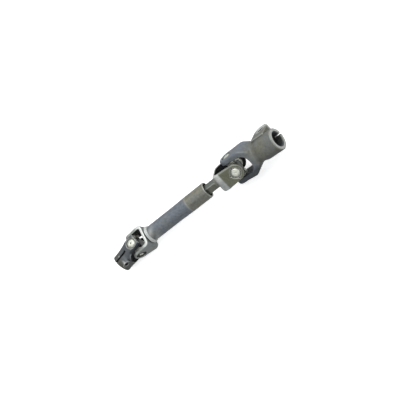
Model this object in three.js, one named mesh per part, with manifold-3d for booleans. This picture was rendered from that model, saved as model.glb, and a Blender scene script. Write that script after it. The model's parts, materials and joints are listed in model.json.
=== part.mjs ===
// Telescopic intermediate shaft with a universal joint at each end, in millimetres.
//
// The shaft lies along +X: the lower joint is at x = 0 and the upper one at x = JOINT_SPACING.
// Each yoke is built in its own frame, with its pin along Z and its body towards +X.
// Nested groups turn the spiders and clamp yokes about their pins, and the outermost
// group lays the whole shaft down on the points that it rests on.

import * as THREE from "three";
import { mergeVertices } from "three/addons/utils/BufferGeometryUtils.js";
import Module from "manifold-3d";

const wasm = await Module();
wasm.setup();

const rad = THREE.MathUtils.degToRad;

// ---------------------------------------------------------------- driving dimensions

const JOINT_SPACING = 180; // between the two joint centres, at the middle of the slide
const CLEARANCE = 0.3; // gap between pieces that touch or are pressed together

// Roll of each inner yoke's pin from +Z, about the shaft.
const UPPER_PIN_ROLL = 16;
const LOWER_PIN_ROLL = 64;

// How far each joint is bent at rest, about the inner yoke's pin and about the clamp yoke's pin.
const UPPER_BEND = { innerPin: 1, clampPin: -15 };
const LOWER_BEND = { innerPin: -3, clampPin: 15 };

// The shaft lies on its lowest corners: roll about the shaft, then pitch of its upper end.
const LYING_ROLL = 29.59;
const LYING_PITCH = 1.93;

const BEARING = {
  cupRadius: 7.5,
  cupWall: 1.1,
  cupFloor: 1.5,
  cupMouth: 9.5, // from the joint centre to the cup's open end
  needleCount: 20,
  needlePitchRadius: 5.45,
  needleRadius: 0.72,
  trunnionRadius: 4.55,
  sealSeat: 7.7, // from the joint centre to the shoulder that each seal sits on
  sealRadius: 7.1,
};

// From a joint's centre to the outer faces of the cups in each yoke.
const SPAN = { shaftYoke: 18.4, upperClamp: 20, tubeYoke: 15, lowerClamp: 16.1 };

// The forged middle of each spider: a ball with ground faces where the seals sit.
const SPIDER = { upperRadius: 7.9, lowerRadius: 9.6, halfThickness: 7 };

const SHAFT_YOKE = {
  halfSpan: 19, plate: 5, earRadius: 11.5, baseHalfWidth: 12.6, baseCorner: 4,
  reach: 31.5, bendRadius: 12,
};
const TUBE_YOKE = {
  halfSpan: 16.4, plate: 4.6, earRadius: 10.2, baseHalfWidth: 13, baseCorner: 2.5,
  reach: 24, bendRadius: 7,
};
const SPIGOT = { radius: 8.7, length: 8, bore: 5.5 };

const TUBE = {
  radius: 10.9, wall: 1.9, flareStart: 76, formedStart: 97,
  formedRadius: 11.4, formedWall: 1.9, end: 130, flat: 10.3,
};
const WELD = { width: 4.6, height: 2 };

const INNER_SHAFT = {
  radius: 7, flat: 5, start: 60, collar: 3.5, stubRadius: 6, headRadius: 7.6, headHeight: 1.6,
};
const SLIDE_BUSH = { start: 101, end: 125 };
const FLAT_TURN = 19; // flats of the slide, turned from the shaft yoke's pin

const UPPER_CLAMP = {
  halfSpan: 20.8, innerSpan: 13, earRadius: 11.6, earEnd: 23, crotch: 30, neckEnd: 37,
  rootHalfWidth: 14.4, rootRadius: 15.6, waist: 40, waistRadius: 13.7,
  hubStart: 50, hubRadius: 15.4, hubEnd: 74, bore: 10,
  lugX: 52, lugY: 20, lugRadius: 10.8, lugLow: -14, lugHigh: 17.5, boltRadius: 4.3,
  slitStart: 35, slitWidth: 2.2,
};
const LOWER_CLAMP = {
  halfSpan: 16.6, innerSpan: 11.6, earHalfWidth: 10, earTop: 8.6, earEnd: 5, topChamfer: 3,
  earRound: 17.3, crotch: 19.5, neckEnd: 21, sleeveRadius: 13.3, sleeveEnd: 35, bore: 8.6,
  boltX: 25.8, boltZ: 9.6, boltRadius: 2.9, boltDepth: 3.2,
  bossRadius: 5.8, bossFace: 12.7, bossTop: 13.3,
  slitStart: 13.5, slitWidth: 1.7,
};

const ROUND = 40; // segments of the large round surfaces
const SMALL_ROUND = 24; // segments of the bearings' round surfaces
const THROUGH = 60; // longer than anything that a cutter has to pass through

// ---------------------------------------------------------------- materials

function steel(color, roughness, metalness) {
  return new THREE.MeshStandardMaterial({ color, roughness, metalness });
}

const forgedSteel = steel(0x6b7274, 0.55, 0.7);
const stampedSteel = steel(0x6f7267, 0.5, 0.75);
const tubeSteel = steel(0x6e757c, 0.45, 0.75);
const drawnSteel = steel(0x62655c, 0.4, 0.8);
const weldSteel = steel(0x8a9290, 0.5, 0.7);
const bearingSteel = steel(0xc4c8bb, 0.3, 0.9);
const sealRubber = steel(0x26282a, 0.85, 0.0);
const slideNylon = steel(0x2e2f2d, 0.6, 0.0);

// ---------------------------------------------------------------- solids

// Turns a closed three.js geometry into a solid, with its faces pointing outwards.
function solid(geometry) {
  const bare = geometry.clone();
  bare.deleteAttribute("normal");
  bare.deleteAttribute("uv");
  const merged = mergeVertices(bare, 1e-4);
  const position = merged.attributes.position;
  const index = merged.index.array;
  const corners = [new THREE.Vector3(), new THREE.Vector3(), new THREE.Vector3()];
  const triangles = [];
  let volume = 0;
  for (let i = 0; i < index.length; i += 3) {
    const [a, b, c] = [index[i], index[i + 1], index[i + 2]];
    if (a === b || b === c || c === a) continue;
    triangles.push([a, b, c]);
    corners.forEach((corner, k) => corner.fromBufferAttribute(position, index[i + k]));
    volume += corners[0].dot(corners[1].clone().cross(corners[2]));
  }
  const ordered = volume < 0 ? triangles.map(([a, b, c]) => [a, c, b]) : triangles;
  return new wasm.Manifold(new wasm.Mesh({
    numProp: 3,
    vertProperties: new Float32Array(position.array),
    triVerts: new Uint32Array(ordered.flat()),
  }));
}

function join(...solids) {
  return solids.reduce((whole, next) => whole.add(next));
}

function cut(body, ...tools) {
  return tools.reduce((rest, tool) => rest.subtract(tool), body);
}

// A prism of a shape drawn in the XY plane, standing on both sides of it from low to high.
function prismZ(shape, low, high, curveSegments = 12) {
  const geometry = new THREE.ExtrudeGeometry(shape, {
    depth: high - low, bevelEnabled: false, curveSegments,
  });
  return solid(geometry.translate(0, 0, low));
}

// A prism of a shape drawn with x along X and y along Z, reaching halfWidth to each side.
function prismY(shape, halfWidth, curveSegments = 12) {
  const geometry = new THREE.ExtrudeGeometry(shape, {
    depth: 2 * halfWidth, bevelEnabled: false, curveSegments,
  });
  return solid(geometry.rotateX(Math.PI / 2).translate(0, halfWidth, 0));
}

// A body turned about X: the profile is a closed list of [x, radius].
function turnedX(profile, segments = ROUND) {
  const points = profile.map(([x, radius]) => new THREE.Vector2(radius, x));
  const closed = [...points, points[0]];
  return solid(new THREE.LatheGeometry(closed, segments).rotateZ(-Math.PI / 2));
}

// A body turned about Z: the profile is a closed list of [z, radius].
function turnedZ(profile, segments = SMALL_ROUND) {
  const points = profile.map(([z, radius]) => new THREE.Vector2(radius, z));
  const closed = [...points, points[0]];
  return solid(new THREE.LatheGeometry(closed, segments).rotateX(Math.PI / 2));
}

function rodX(start, end, radius, segments = ROUND) {
  return turnedX([[start, 0], [end, 0], [end, radius], [start, radius]], segments);
}

function rodZ(start, end, radius, segments = SMALL_ROUND) {
  return turnedZ([[start, 0], [end, 0], [end, radius], [start, radius]], segments);
}

function block(x, y, z) {
  const [[x0, x1], [y0, y1], [z0, z1]] = [x, y, z];
  const geometry = new THREE.BoxGeometry(x1 - x0, y1 - y0, z1 - z0);
  return solid(geometry.translate((x0 + x1) / 2, (y0 + y1) / 2, (z0 + z1) / 2));
}

// A rod along X with two flats that face +Z and -Z.
function flattedRod(start, end, radius, flat) {
  const slab = block([start - 1, end + 1], [-THROUGH, THROUGH], [-flat, flat]);
  return rodX(start, end, radius).intersect(slab);
}

// A straight-sided outline that ends in a half round about the pin, widening towards the body.
function earPlan(earRadius, straightEnd, bodyStart, bodyHalfWidth, reach, corner = 0) {
  const plan = new THREE.Shape();
  plan.moveTo(reach, corner - bodyHalfWidth);
  plan.lineTo(reach, bodyHalfWidth - corner);
  plan.lineTo(reach - corner, bodyHalfWidth);
  plan.lineTo(bodyStart, bodyHalfWidth);
  plan.lineTo(straightEnd, earRadius);
  plan.absarc(0, 0, earRadius, Math.PI / 2, 1.5 * Math.PI, false);
  plan.lineTo(straightEnd, -earRadius);
  plan.lineTo(bodyStart, -bodyHalfWidth);
  plan.lineTo(reach - corner, -bodyHalfWidth);
  plan.closePath();
  return plan;
}

// A channel seen from the side: open towards -X, with round corners at its closed end.
function channelSide(back, reach, halfSpan, cornerRadius) {
  const side = new THREE.Shape();
  side.moveTo(-back, -halfSpan);
  side.lineTo(reach - cornerRadius, -halfSpan);
  side.absarc(reach - cornerRadius, cornerRadius - halfSpan, cornerRadius, -Math.PI / 2, 0, false);
  side.absarc(reach - cornerRadius, halfSpan - cornerRadius, cornerRadius, 0, Math.PI / 2, false);
  side.lineTo(-back, halfSpan);
  side.closePath();
  return side;
}

// A fork gap seen from the side: open towards -X and closed by a half ellipse at the crotch.
function forkGapSide(back, crotch, innerSpan) {
  const gap = new THREE.Shape();
  const archDepth = innerSpan * 0.95;
  gap.moveTo(-back, -innerSpan);
  gap.lineTo(crotch - archDepth, -innerSpan);
  gap.absellipse(crotch - archDepth, 0, archDepth, innerSpan, -Math.PI / 2, Math.PI / 2, false, 0);
  gap.lineTo(-back, innerSpan);
  gap.closePath();
  return gap;
}

// ---------------------------------------------------------------- pieces

// The bores in a yoke's ears, a press fit on the bearing cups.
function earBores() {
  return rodZ(-THROUGH, THROUGH, BEARING.cupRadius + CLEARANCE, 32);
}

// A yoke bent from plate: two ears and a base.
function stampedYoke({ halfSpan, plate, earRadius, baseHalfWidth, baseCorner, reach, bendRadius }) {
  const outside = prismY(channelSide(earRadius + 2, reach, halfSpan, bendRadius), THROUGH);
  const inside = prismY(
    channelSide(earRadius + 4, reach - plate, halfSpan - plate, bendRadius - plate), THROUGH + 1);
  const plan = earPlan(
    earRadius, 2, reach - bendRadius - 1, baseHalfWidth, reach + CLEARANCE, baseCorner);
  const blank = cut(outside, inside).intersect(prismZ(plan, -THROUGH, THROUGH));
  return cut(blank, earBores());
}

function shaftYoke() {
  const shaftHole = rodX(0, THROUGH, INNER_SHAFT.stubRadius + CLEARANCE, 32);
  return cut(stampedYoke(SHAFT_YOKE), shaftHole);
}

// The tube yoke has a hollow spigot that centres it in the end of the tube.
function tubeYoke() {
  const { reach, plate } = TUBE_YOKE;
  const spigot = rodX(reach - plate / 2, reach + SPIGOT.length, SPIGOT.radius, 32);
  const bore = rodX(0, THROUGH, SPIGOT.bore, 32);
  return cut(join(stampedYoke(TUBE_YOKE), spigot), bore);
}

// The tube: round at its yoke, slightly flared, and formed with two flats where it slides.
function outerTube() {
  const start = TUBE_YOKE.reach + CLEARANCE;
  const outside = turnedX([
    [start, 0], [start, TUBE.radius], [TUBE.flareStart, TUBE.radius],
    [TUBE.formedStart, TUBE.formedRadius],
    [TUBE.end - 0.6, TUBE.formedRadius], [TUBE.end, TUBE.formedRadius - 0.6], [TUBE.end, 0],
  ]);
  const flatCutters = [1, -1].map((side) => block(
    [TUBE.formedStart, TUBE.end + 1],
    [-THROUGH, THROUGH],
    side > 0 ? [TUBE.flat, THROUGH] : [-THROUGH, -TUBE.flat],
  ));
  const roundBore = rodX(start - 1, TUBE.formedStart, TUBE.radius - TUBE.wall);
  const formedBore = flattedRod(
    TUBE.formedStart - 1, TUBE.end + 1, TUBE.formedRadius - TUBE.formedWall, TUBE.flat - TUBE.formedWall);
  return cut(outside, ...flatCutters, roundBore, formedBore);
}

function weldBead() {
  const inner = TUBE.radius + CLEARANCE;
  const start = TUBE_YOKE.reach + CLEARANCE;
  return turnedX([
    [start, inner], [start, inner + WELD.height],
    [start + WELD.width * 0.6, inner + WELD.height * 0.8], [start + WELD.width, inner],
  ]);
}

// The inner shaft, whose stub goes through the shaft yoke and is headed over inside it.
function innerShaft() {
  const yokeOutside = JOINT_SPACING - SHAFT_YOKE.reach;
  const yokeInside = yokeOutside + SHAFT_YOKE.plate;
  const slidingPart = flattedRod(
    INNER_SHAFT.start, yokeOutside - INNER_SHAFT.collar, INNER_SHAFT.radius, INNER_SHAFT.flat);
  const collar = rodX(
    yokeOutside - INNER_SHAFT.collar, yokeOutside - CLEARANCE, INNER_SHAFT.radius);
  const headStart = yokeInside + CLEARANCE;
  const stub = rodX(yokeOutside - 1, headStart, INNER_SHAFT.stubRadius, 32);
  const head = turnedX([
    [headStart, 0], [headStart, INNER_SHAFT.headRadius],
    [headStart + INNER_SHAFT.headHeight, INNER_SHAFT.headRadius - 2],
    [headStart + INNER_SHAFT.headHeight, 0],
  ], 32);
  return join(slidingPart, collar, stub, head);
}

function slideBush() {
  const { start, end } = SLIDE_BUSH;
  const outside = flattedRod(
    start, end,
    TUBE.formedRadius - TUBE.formedWall - CLEARANCE,
    TUBE.flat - TUBE.formedWall - CLEARANCE);
  const inside = flattedRod(
    start - 1, end + 1, INNER_SHAFT.radius + CLEARANCE, INNER_SHAFT.flat + CLEARANCE);
  return cut(outside, inside);
}

// The forged clamp yoke: thick ears, a round hub with a slit, and a lug for the pinch bolt.
function upperClampYoke() {
  const y = UPPER_CLAMP;
  const shoulderX = (y.earEnd + y.neckEnd) / 2;
  const side = new THREE.Shape();
  side.moveTo(-y.earRadius - 1, -y.halfSpan);
  side.lineTo(y.earEnd, -y.halfSpan);
  side.quadraticCurveTo(shoulderX, -y.halfSpan, y.neckEnd, -y.waistRadius);
  side.lineTo(y.neckEnd, y.waistRadius);
  side.quadraticCurveTo(shoulderX, y.halfSpan, y.earEnd, y.halfSpan);
  side.lineTo(-y.earRadius - 1, y.halfSpan);
  side.closePath();
  const plan = earPlan(y.earRadius, 6, y.earEnd, y.rootHalfWidth, y.neckEnd + 1, 4);
  const ears = prismY(side, THROUGH, 6).intersect(prismZ(plan, -THROUGH, THROUGH));

  const hub = turnedX([
    [y.earEnd, 0], [y.earEnd, y.rootRadius], [y.crotch + 2, y.rootRadius],
    [y.waist - 1, y.waistRadius], [y.waist + 1, y.waistRadius], [y.hubStart, y.hubRadius],
    [y.hubEnd - 0.8, y.hubRadius], [y.hubEnd, y.hubRadius - 0.8], [y.hubEnd, 0],
  ]);

  const lugOutline = new THREE.Shape();
  lugOutline.moveTo(y.lugX - y.lugRadius - 4, 0);
  lugOutline.lineTo(y.lugX + y.lugRadius, 0);
  lugOutline.absarc(y.lugX, y.lugY, y.lugRadius, 0, Math.PI, false);
  lugOutline.closePath();
  const lug = prismZ(lugOutline, y.lugLow, y.lugHigh);

  const forkGap = prismY(forkGapSide(THROUGH, y.crotch, y.innerSpan), THROUGH, 10);
  const bore = rodX(0, THROUGH + y.hubEnd, y.bore);
  const boltHole = rodZ(-THROUGH, THROUGH, y.boltRadius).translate(y.lugX, y.lugY, 0);
  const slit = block(
    [y.slitStart, y.hubEnd + 1], [0, THROUGH], [-y.slitWidth / 2, y.slitWidth / 2]);
  return cut(join(ears, hub, lug), forkGap, bore, earBores(), boltHole, slit);
}

// The short clamp yoke: ears turned round outside, and a slit sleeve with a cross-bolt boss.
function lowerClampYoke() {
  const y = LOWER_CLAMP;
  const side = new THREE.Shape();
  side.moveTo(-y.earTop, -y.halfSpan);
  side.lineTo(y.earEnd, -y.halfSpan);
  side.lineTo(y.neckEnd, -y.sleeveRadius);
  side.lineTo(y.neckEnd, y.sleeveRadius);
  side.lineTo(y.earEnd, y.halfSpan);
  side.lineTo(-y.earTop, y.halfSpan);
  side.closePath();
  const plan = new THREE.Shape();
  plan.moveTo(-y.earTop, y.topChamfer - y.earHalfWidth);
  plan.lineTo(y.topChamfer - y.earTop, -y.earHalfWidth);
  plan.lineTo(y.earEnd, -y.earHalfWidth);
  plan.lineTo(y.neckEnd, -y.sleeveRadius);
  plan.lineTo(y.neckEnd, y.sleeveRadius);
  plan.lineTo(y.earEnd, y.earHalfWidth);
  plan.lineTo(y.topChamfer - y.earTop, y.earHalfWidth);
  plan.lineTo(-y.earTop, y.earHalfWidth - y.topChamfer);
  plan.closePath();
  // Turned to a round, which tapers from the ears down to the sleeve.
  const roundOutside = turnedX([
    [-THROUGH, 0], [-THROUGH, y.earRound], [y.earEnd, y.earRound],
    [y.neckEnd, y.sleeveRadius], [y.neckEnd, 0],
  ]);
  const ears = prismY(side, THROUGH)
    .intersect(prismZ(plan, -THROUGH, THROUGH))
    .intersect(roundOutside);

  const sleeve = turnedX([
    [y.neckEnd - 6, 0], [y.neckEnd - 6, y.sleeveRadius], [y.sleeveEnd - 1, y.sleeveRadius],
    [y.sleeveEnd, y.sleeveRadius - 1], [y.sleeveEnd, 0],
  ]);
  const bossOutline = new THREE.Shape();
  bossOutline.absarc(y.boltX, y.boltZ, y.bossRadius, 0, 2 * Math.PI, false);
  const boss = prismY(bossOutline, THROUGH, 24).intersect(
    block([0, THROUGH], [0, y.bossFace], [0, y.bossTop]));

  const forkGap = prismY(forkGapSide(THROUGH, y.crotch, y.innerSpan), THROUGH, 10);
  const bore = rodX(0, THROUGH, y.bore, 32);
  // The bolt goes through the boss and the slit, and is threaded into the far side of the sleeve.
  const boltHole = rodZ(-THROUGH, y.boltDepth, y.boltRadius)
    .rotate([90, 0, 0]).translate(y.boltX, 0, y.boltZ);
  const slit = block(
    [y.slitStart, y.sleeveEnd + 1], [-y.slitWidth / 2, y.slitWidth / 2], [0, THROUGH]);
  return cut(join(ears, sleeve, boss), forkGap, bore, earBores(), boltHole, slit);
}

// The cross: four trunnions on a round body, along Z and along Y.
function spider(spans, bodyRadius) {
  const shoulder = BEARING.sealSeat;
  const ground = [-shoulder, shoulder];
  const body = solid(new THREE.SphereGeometry(bodyRadius, SMALL_ROUND, 14))
    .intersect(block([-SPIDER.halfThickness, SPIDER.halfThickness], ground, ground));
  const [alongZ, alongY] = spans.map((span) => {
    const tip = span - BEARING.cupFloor - CLEARANCE;
    return turnedZ([
      [-tip, 0], [-tip, BEARING.trunnionRadius - 0.5], [0.5 - tip, BEARING.trunnionRadius],
      [-shoulder, BEARING.trunnionRadius], [-shoulder, BEARING.sealRadius - 0.8],
      [shoulder, BEARING.sealRadius - 0.8], [shoulder, BEARING.trunnionRadius],
      [tip - 0.5, BEARING.trunnionRadius], [tip, BEARING.trunnionRadius - 0.5], [tip, 0],
    ]);
  });
  return join(body, alongZ, alongY.rotate([90, 0, 0]));
}

// A bearing cup, closed at its outer end and open towards the joint centre.
function bearingCup(span) {
  const { cupRadius, cupWall, cupFloor, cupMouth } = BEARING;
  const inner = cupRadius - cupWall;
  return turnedZ([
    [span, 0], [span, cupRadius - 0.5], [span - 0.5, cupRadius], [cupMouth, cupRadius],
    [cupMouth, inner], [span - cupFloor, inner], [span - cupFloor, 0],
  ]);
}

// All the needles of one cup, side by side, as one ring with a ripple for each needle.
function needleSet(span) {
  const { needleCount, needlePitchRadius, needleRadius } = BEARING;
  const groove = needleRadius * 0.55;
  const outline = new THREE.Shape();
  const hole = new THREE.Path();
  for (let i = 0; i < 2 * needleCount; i += 1) {
    const angle = (i * Math.PI) / needleCount;
    const reach = i % 2 ? groove : needleRadius;
    const [cos, sin] = [Math.cos(angle), Math.sin(angle)];
    const outer = needlePitchRadius + reach;
    const inner = needlePitchRadius - reach;
    if (i === 0) {
      outline.moveTo(outer * cos, outer * sin);
      hole.moveTo(inner * cos, inner * sin);
    } else {
      outline.lineTo(outer * cos, outer * sin);
      hole.lineTo(inner * cos, inner * sin);
    }
  }
  outline.closePath();
  hole.closePath();
  outline.holes.push(hole);
  return prismZ(outline, BEARING.cupMouth + 0.4, span - BEARING.cupFloor - CLEARANCE);
}

// The rubber seal between a cup's mouth and the trunnion's shoulder.
function trunnionSeal() {
  const top = BEARING.cupMouth - CLEARANCE;
  const bottom = BEARING.sealSeat + CLEARANCE;
  const inner = BEARING.trunnionRadius + CLEARANCE;
  return turnedZ([
    [bottom, inner], [bottom, BEARING.sealRadius - 0.4], [bottom + 0.5, BEARING.sealRadius],
    [top, BEARING.sealRadius], [top, inner],
  ]);
}

// ---------------------------------------------------------------- assembly

function mesh(name, body, material) {
  const { vertProperties, triVerts } = body.getMesh();
  const geometry = new THREE.BufferGeometry();
  geometry.setAttribute("position", new THREE.BufferAttribute(new Float32Array(vertProperties), 3));
  geometry.setIndex(new THREE.BufferAttribute(new Uint32Array(triVerts), 1));
  geometry.computeVertexNormals();
  const piece = new THREE.Mesh(geometry, material);
  piece.name = name;
  return piece;
}

function group(name, ...children) {
  const holder = new THREE.Group();
  holder.name = name;
  holder.add(...children);
  return holder;
}

// Puts pieces made on +Z at the near end of a pin and at its far end.
function onBothEnds(build) {
  const near = group("", ...build("near"));
  const far = group("", ...build("far"));
  far.rotation.x = Math.PI;
  return [near, far];
}

// The cups and needles at both ends of a yoke's pin.
function bearings(yokeName, span) {
  return onBothEnds((end) => [
    mesh(`${yokeName}_cup_${end}`, bearingCup(span), bearingSteel),
    mesh(`${yokeName}_needles_${end}`, needleSet(span), bearingSteel),
  ]);
}

// A spider with its four seals: its pins lie along Z and along Y.
function spiderWithSeals(name, spans, bodyRadius, pinNames) {
  const seals = pinNames.map((pinName, i) => {
    const pair = group("", ...onBothEnds((end) => [
      mesh(`${pinName}_seal_${end}`, trunnionSeal(), sealRubber),
    ]));
    pair.rotation.x = i === 0 ? 0 : -Math.PI / 2;
    return pair;
  });
  return [mesh(name, spider(spans, bodyRadius), bearingSteel), ...seals];
}

// The tube with its yoke: the frame that everything else moves against.
const tubeYokeFrame = group("tube_yoke_frame",
  mesh("tube_yoke", tubeYoke(), stampedSteel),
  ...bearings("tube_yoke", SPAN.tubeYoke));
tubeYokeFrame.rotation.x = rad(LOWER_PIN_ROLL);

const flatsFrame = group("flats_frame",
  mesh("outer_tube", outerTube(), tubeSteel),
  mesh("slide_bush", slideBush(), slideNylon),
  mesh("inner_shaft", innerShaft(), drawnSteel));
flatsFrame.rotation.x = rad(UPPER_PIN_ROLL + FLAT_TURN);

// The yoke at the end of the inner shaft faces the other way along X.
const shaftYokeTurn = group("", mesh("shaft_yoke", shaftYoke(), stampedSteel));
shaftYokeTurn.rotation.z = Math.PI;
const shaftYokeFrame = group("shaft_yoke_frame", shaftYokeTurn,
  ...bearings("shaft_yoke", SPAN.shaftYoke));

const upperClampYokeFrame = group("",
  mesh("upper_clamp_yoke", upperClampYoke(), forgedSteel),
  ...bearings("upper_clamp", SPAN.upperClamp));
upperClampYokeFrame.rotation.x = -Math.PI / 2;
const upperClampFrame = group("upper_clamp_frame", upperClampYokeFrame);
upperClampFrame.rotation.y = rad(UPPER_BEND.clampPin);
const upperSpiderFrame = group("upper_spider_frame",
  ...spiderWithSeals(
    "upper_spider", [SPAN.shaftYoke, SPAN.upperClamp], SPIDER.upperRadius,
    ["shaft_yoke", "upper_clamp"]),
  upperClampFrame);
upperSpiderFrame.rotation.z = rad(UPPER_BEND.innerPin);
const upperJoint = group("upper_joint", shaftYokeFrame, upperSpiderFrame);
upperJoint.position.x = JOINT_SPACING;
upperJoint.rotation.x = rad(UPPER_PIN_ROLL);

const lowerClampYokeFrame = group("",
  mesh("lower_clamp_yoke", lowerClampYoke(), forgedSteel),
  ...bearings("lower_clamp", SPAN.lowerClamp));
lowerClampYokeFrame.rotation.x = -Math.PI / 2;
const lowerClampTurn = group("", lowerClampYokeFrame);
lowerClampTurn.rotation.y = Math.PI;
const lowerClampFrame = group("lower_clamp_frame", lowerClampTurn);
lowerClampFrame.rotation.y = rad(LOWER_BEND.clampPin);
const lowerSpiderFrame = group("lower_spider_frame",
  ...spiderWithSeals(
    "lower_spider", [SPAN.tubeYoke, SPAN.lowerClamp], SPIDER.lowerRadius,
    ["tube_yoke", "lower_clamp"]),
  lowerClampFrame);
lowerSpiderFrame.rotation.z = rad(LOWER_BEND.innerPin);
const lowerJoint = group("lower_joint", lowerSpiderFrame);
lowerJoint.rotation.x = rad(LOWER_PIN_ROLL);

const shaft = group("shaft", tubeYokeFrame, flatsFrame,
  mesh("weld_bead", weldBead(), weldSteel), upperJoint, lowerJoint);
shaft.rotation.x = rad(LYING_ROLL);

const lying = group("lying", shaft);
lying.rotation.y = -rad(LYING_PITCH);

const part = group("universal_joint_shaft", lying);

// The origin is under the middle of the object, on the surface that it lies on.
const box = new THREE.Box3().setFromObject(part, true);
const middle = box.getCenter(new THREE.Vector3());
lying.position.set(-middle.x, -middle.y, -box.min.z);

export default part;
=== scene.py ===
"""Looks of the telescopic shaft with two universal joints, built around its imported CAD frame.

Lengths are in millimetres while a piece is built and in metres once it is a mesh. Every piece is built
in the frame of its own yoke, pin or shaft, and its points are then placed as the CAD places it.
Forged and bent pieces are surfaces of distance functions, with their fillets blended in. Turned and
drawn pieces are rings along a profile.
"""

import json
import math

import bpy
import numpy as np
from mathutils import Matrix, Vector


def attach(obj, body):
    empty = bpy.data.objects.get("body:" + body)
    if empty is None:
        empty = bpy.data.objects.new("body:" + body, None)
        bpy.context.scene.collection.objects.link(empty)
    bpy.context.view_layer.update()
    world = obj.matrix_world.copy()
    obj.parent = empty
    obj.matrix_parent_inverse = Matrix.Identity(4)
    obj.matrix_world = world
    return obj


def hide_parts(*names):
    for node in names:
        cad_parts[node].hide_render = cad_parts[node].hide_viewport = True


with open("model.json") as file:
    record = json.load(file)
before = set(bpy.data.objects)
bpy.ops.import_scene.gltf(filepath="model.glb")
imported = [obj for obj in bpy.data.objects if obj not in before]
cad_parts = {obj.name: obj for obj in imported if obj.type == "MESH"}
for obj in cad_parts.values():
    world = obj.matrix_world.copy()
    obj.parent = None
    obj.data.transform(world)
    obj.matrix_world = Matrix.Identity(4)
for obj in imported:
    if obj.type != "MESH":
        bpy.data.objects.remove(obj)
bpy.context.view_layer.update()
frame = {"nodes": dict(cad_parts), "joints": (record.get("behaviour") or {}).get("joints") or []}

MM = 0.001

# ---------------------------------------------------------------- dimensions, as in the CAD source

JOINT_SPACING = 180.0
UPPER_PIN_ROLL, LOWER_PIN_ROLL = 16.0, 64.0
UPPER_INNER_BEND, UPPER_CLAMP_BEND = 1.0, -15.0
LOWER_INNER_BEND, LOWER_CLAMP_BEND = -3.0, 15.0
LYING_ROLL, LYING_PITCH = 29.59, 1.93
FLAT_TURN = 19.0

# Along a pin, a span is measured from the joint's centre to the cup's outer face.
CUP_RADIUS, CUP_WALL, CUP_MOUTH = 7.5, 1.1, 9.5
SHAFT_YOKE_SPAN, UPPER_CLAMP_SPAN, TUBE_YOKE_SPAN, LOWER_CLAMP_SPAN = 18.4, 20.0, 15.0, 16.1
TRUNNION_RADIUS, SEAL_RADIUS, SEAL_SEAT = 4.55, 7.1, 7.7
TRUNNION_GAP = 1.8  # from a trunnion's tip to the outer face of its cup
UPPER_SPIDER_RADIUS, LOWER_SPIDER_RADIUS, SPIDER_HALF_THICKNESS = 7.9, 9.6, 7.0

# Along a yoke, x runs from the joint's centre to the yoke's base or hub.
SHAFT_YOKE = dict(half_span=19.0, plate=5.0, ear=11.5, base=12.6, corner=4.0, reach=31.5, bend=12.0)
TUBE_YOKE = dict(half_span=16.4, plate=4.6, ear=10.2, base=13.0, corner=2.5, reach=24.0, bend=7.0)
SPIGOT_RADIUS, SPIGOT_BORE, SPIGOT_MIDDLE, SPIGOT_HALF_LENGTH = 8.7, 5.5, 27.0, 5.0

UPPER_HALF_SPAN, UPPER_INNER_SPAN, UPPER_CROTCH, UPPER_END = 20.8, 13.0, 30.0, 74.0
UPPER_BORE, UPPER_BOLT, UPPER_BOLT_RADIUS, UPPER_SLIT = 10.0, (52.0, 20.0), 4.3, 1.1
LUG_RADIUS, LUG_MIDDLE, LUG_HALF_WIDTH = 10.8, 1.75, 15.75

LOWER_HALF_SPAN, LOWER_INNER_SPAN, LOWER_CROTCH, LOWER_END = 16.6, 11.6, 19.5, 35.0
LOWER_BORE, LOWER_BOLT, LOWER_BOLT_RADIUS, LOWER_BOLT_DEPTH, LOWER_SLIT = 8.6, (25.8, 9.6), 2.9, 3.2, 0.85
LOWER_EAR_RADIUS, SLEEVE_RADIUS, BOSS_RADIUS, BOSS_FACE = 17.3, 13.3, 5.8, 12.7

# Along the shaft, x runs from the lower joint's centre.
TUBE_RADIUS, FORMED_RADIUS, TUBE_FLAT, FORMED_INNER, FORMED_INNER_FLAT = 10.9, 11.4, 10.3, 9.5, 8.4
TUBE_INNER, FLARE_START, FORMED_START, TUBE_END = 9.0, 76.0, 97.0, 130.0
BAR_RADIUS, BAR_FLAT = 7.0, 5.0
BUSH_START, BUSH_END = 101.0, 125.0

# Worked out from those above, or in the visual model only.
NECK_RADIUS, SHAFT_YOKE_HOLE, SPOT_FACE_RADIUS = 6.3, 6.1, 8.4
TUBE_MIDWALL = 10.2  # points within it are on the inside of the tube's wall
WELD_MIDDLE, WELD_FOOT, WELD_SCALES = 26.0, 11.1, 21
BAR_FLATS_END = 142.8
BUSH_OUTER, BUSH_INNER, BUSH_FLAT, BUSH_INNER_FLAT = 9.1, 7.3, 8.1, 5.3

# ---------------------------------------------------------------- placing


def turn(axis, degrees):
    return Matrix.Rotation(math.radians(degrees), 4, axis)


joints = {j["name"]: j for j in frame["joints"]}
upper_centre = Vector(joints["upper_inner_pin"]["pos_m"])
lying_turn = turn("Y", -LYING_PITCH) @ turn("X", LYING_ROLL)
shaft_origin = upper_centre - (lying_turn @ Vector((JOINT_SPACING * MM, 0, 0)))

SHAFT = Matrix.Translation(shaft_origin) @ lying_turn
FLATS = SHAFT @ turn("X", UPPER_PIN_ROLL + FLAT_TURN)
TUBE_FORK = SHAFT @ turn("X", LOWER_PIN_ROLL)
UPPER_JOINT = SHAFT @ Matrix.Translation((JOINT_SPACING * MM, 0, 0)) @ turn("X", UPPER_PIN_ROLL)
SHAFT_FORK = UPPER_JOINT @ turn("Z", 180)
UPPER_CROSS = UPPER_JOINT @ turn("Z", UPPER_INNER_BEND)
UPPER_CLAMP = UPPER_CROSS @ turn("Y", UPPER_CLAMP_BEND) @ turn("X", -90)
LOWER_CROSS = TUBE_FORK @ turn("Z", LOWER_INNER_BEND)
LOWER_CLAMP = LOWER_CROSS @ turn("Y", LOWER_CLAMP_BEND) @ turn("Y", 180) @ turn("X", -90)
OTHER_END = turn("X", 180)
SECOND_PIN = turn("X", -90)

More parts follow.
